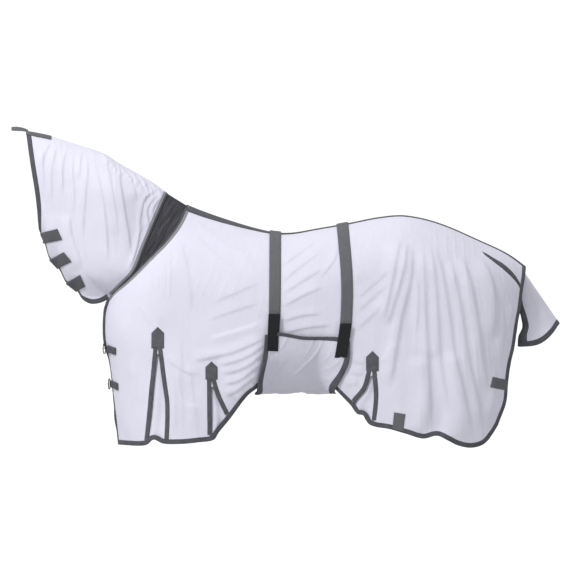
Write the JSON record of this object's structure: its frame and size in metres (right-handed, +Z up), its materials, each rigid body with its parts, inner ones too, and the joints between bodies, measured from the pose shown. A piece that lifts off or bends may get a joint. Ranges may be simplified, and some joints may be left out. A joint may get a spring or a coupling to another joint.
{
  "type": "horse fly sheet",
  "caption": "White mesh horse fly sheet with neck cover, belly flap, tail flap, surcingles, gusseted skirts and dark bound edges, shaped as worn.",
  "frame": {"origin": "on the horse's back, under the lowest point of the spine line", "axes": "+X towards the tail, +Z up; the horse's near (left) side is -Y"},
  "size_m": [2.3676, 0.6952, 1.3804],
  "materials": {
    "sheet_mesh": "matte",
    "binding": "matte",
    "webbing": "matte",
    "hook_and_loop": "matte",
    "stretch_mesh": "matte",
    "buckle_steel": "satin"
  },
  "bodies": {
    "rug": {"chest_billet_lower": "webbing", "chest_billet_upper": "webbing", "chest_chape_lower": "webbing", "chest_chape_upper": "webbing", "croup_dart_far": "binding", "croup_dart_near": "binding", "front_gusset_binding_far": "binding", "front_gusset_binding_near": "binding", "front_gusset_insert_far": "sheet_mesh", "front_gusset_insert_near": "sheet_mesh", "front_gusset_patch_far": "webbing", "front_gusset_patch_near": "webbing", "front_surcingle": "webbing", "hem_binding_far": "binding", "hem_binding_near": "binding", "hem_tab_far": "webbing", "hem_tab_near": "webbing", "middle_gusset_binding_far": "binding", "middle_gusset_binding_near": "binding", "middle_gusset_insert_far": "sheet_mesh", "middle_gusset_insert_near": "sheet_mesh", "middle_gusset_patch_far": "webbing", "middle_gusset_patch_near": "webbing", "neck_stretch_mesh": "stretch_mesh", "neckline_binding_far": "binding", "neckline_binding_near": "binding", "rear_gusset_binding_far": "binding", "rear_gusset_binding_near": "binding", "rear_gusset_insert_far": "sheet_mesh", "rear_gusset_insert_near": "sheet_mesh", "rear_gusset_patch_far": "webbing", "rear_gusset_patch_near": "webbing", "rear_surcingle": "webbing", "rear_tab_far": "webbing", "rear_tab_near": "webbing", "side_panel_far": "sheet_mesh", "side_panel_near": "sheet_mesh", "spine_binding": "binding"},
    "neck_cover": {"neck_panel_near": "sheet_mesh", "neck_panel_far": "sheet_mesh", "neck_edge_binding_near": "binding", "neck_edge_binding_far": "binding", "neck_rear_binding": "binding", "poll_strap_sewn": "webbing"},
    "poll_strap": {"poll_strap_end": "webbing"},
    "throat_tab_1": {"throat_tab_upper": "hook_and_loop"},
    "throat_tab_2": {"throat_tab_middle": "hook_and_loop"},
    "throat_tab_3": {"throat_tab_lower": "hook_and_loop"},
    "tail_cover": {"tail_flap": "sheet_mesh", "tail_flap_binding": "binding"},
    "belly_cover": {"belly_flap": "sheet_mesh", "belly_flap_binding": "binding", "belly_hook_tab_front": "hook_and_loop", "belly_hook_tab_rear": "hook_and_loop"},
    "buckle_upper": {"chest_buckle_upper": "buckle_steel"},
    "buckle_lower": {"chest_buckle_lower": "buckle_steel"},
    "tongue_upper": {"buckle_tongue_upper": "buckle_steel"},
    "tongue_lower": {"buckle_tongue_lower": "buckle_steel"}
  },
  "joints": [
    {"name": "neck_raise", "type": "hinge", "parent": "rug", "child": "neck_cover", "pos_m": [-0.776, 0, -0.28], "axis": [0, 1, 0], "range_deg": [-10, 5], "deforming": ["neck_stretch_mesh"]},
    {"name": "poll_strap_bend", "type": "hinge", "parent": "neck_cover", "child": "poll_strap", "pos_m": [-1.1425, 0, 0.446], "axis": [0, 1, 0], "range_deg": [-70, 25]},
    {"name": "throat_tab_1_peel", "type": "hinge", "parent": "neck_cover", "child": "throat_tab_1", "pos_m": [-1.077, 0.027, -0.023], "axis": [0.4555, 0, -0.8902], "range_deg": [0, 100]},
    {"name": "throat_tab_2_peel", "type": "hinge", "parent": "neck_cover", "child": "throat_tab_2", "pos_m": [-1.024, 0.031, -0.137], "axis": [0.698, 0, -0.7161], "range_deg": [0, 100]},
    {"name": "throat_tab_3_peel", "type": "hinge", "parent": "neck_cover", "child": "throat_tab_3", "pos_m": [-0.948, 0.035, -0.236], "axis": [0.7861, 0, -0.6181], "range_deg": [0, 100]},
    {"name": "tail_flap_lift", "type": "hinge", "parent": "rug", "child": "tail_cover", "pos_m": [1.004, 0, -0.158], "axis": [0, -1, 0], "range_deg": [0, 70]},
    {"name": "belly_flap_open", "type": "hinge", "parent": "rug", "child": "belly_cover", "pos_m": [0.05, 0.264, -0.583], "axis": [1, 0, 0], "range_deg": [0, 50]},
    {"name": "buckle_upper_turn", "type": "hinge", "parent": "rug", "child": "buckle_upper", "pos_m": [-0.79598, -0.06365, -0.498], "axis": [0, 0, 1], "range_deg": [0, 35]},
    {"name": "buckle_lower_turn", "type": "hinge", "parent": "rug", "child": "buckle_lower", "pos_m": [-0.77649, -0.0456, -0.651], "axis": [0, 0, 1], "range_deg": [0, 35]},
    {"name": "tongue_upper_turn", "type": "hinge", "parent": "buckle_upper", "child": "tongue_upper", "pos_m": [-0.79598, -0.06365, -0.498], "axis": [0, 0, 1], "range_deg": [0, 80]},
    {"name": "tongue_lower_turn", "type": "hinge", "parent": "buckle_lower", "child": "tongue_lower", "pos_m": [-0.77649, -0.0456, -0.651], "axis": [0, 0, 1], "range_deg": [0, 80]}
  ]
}
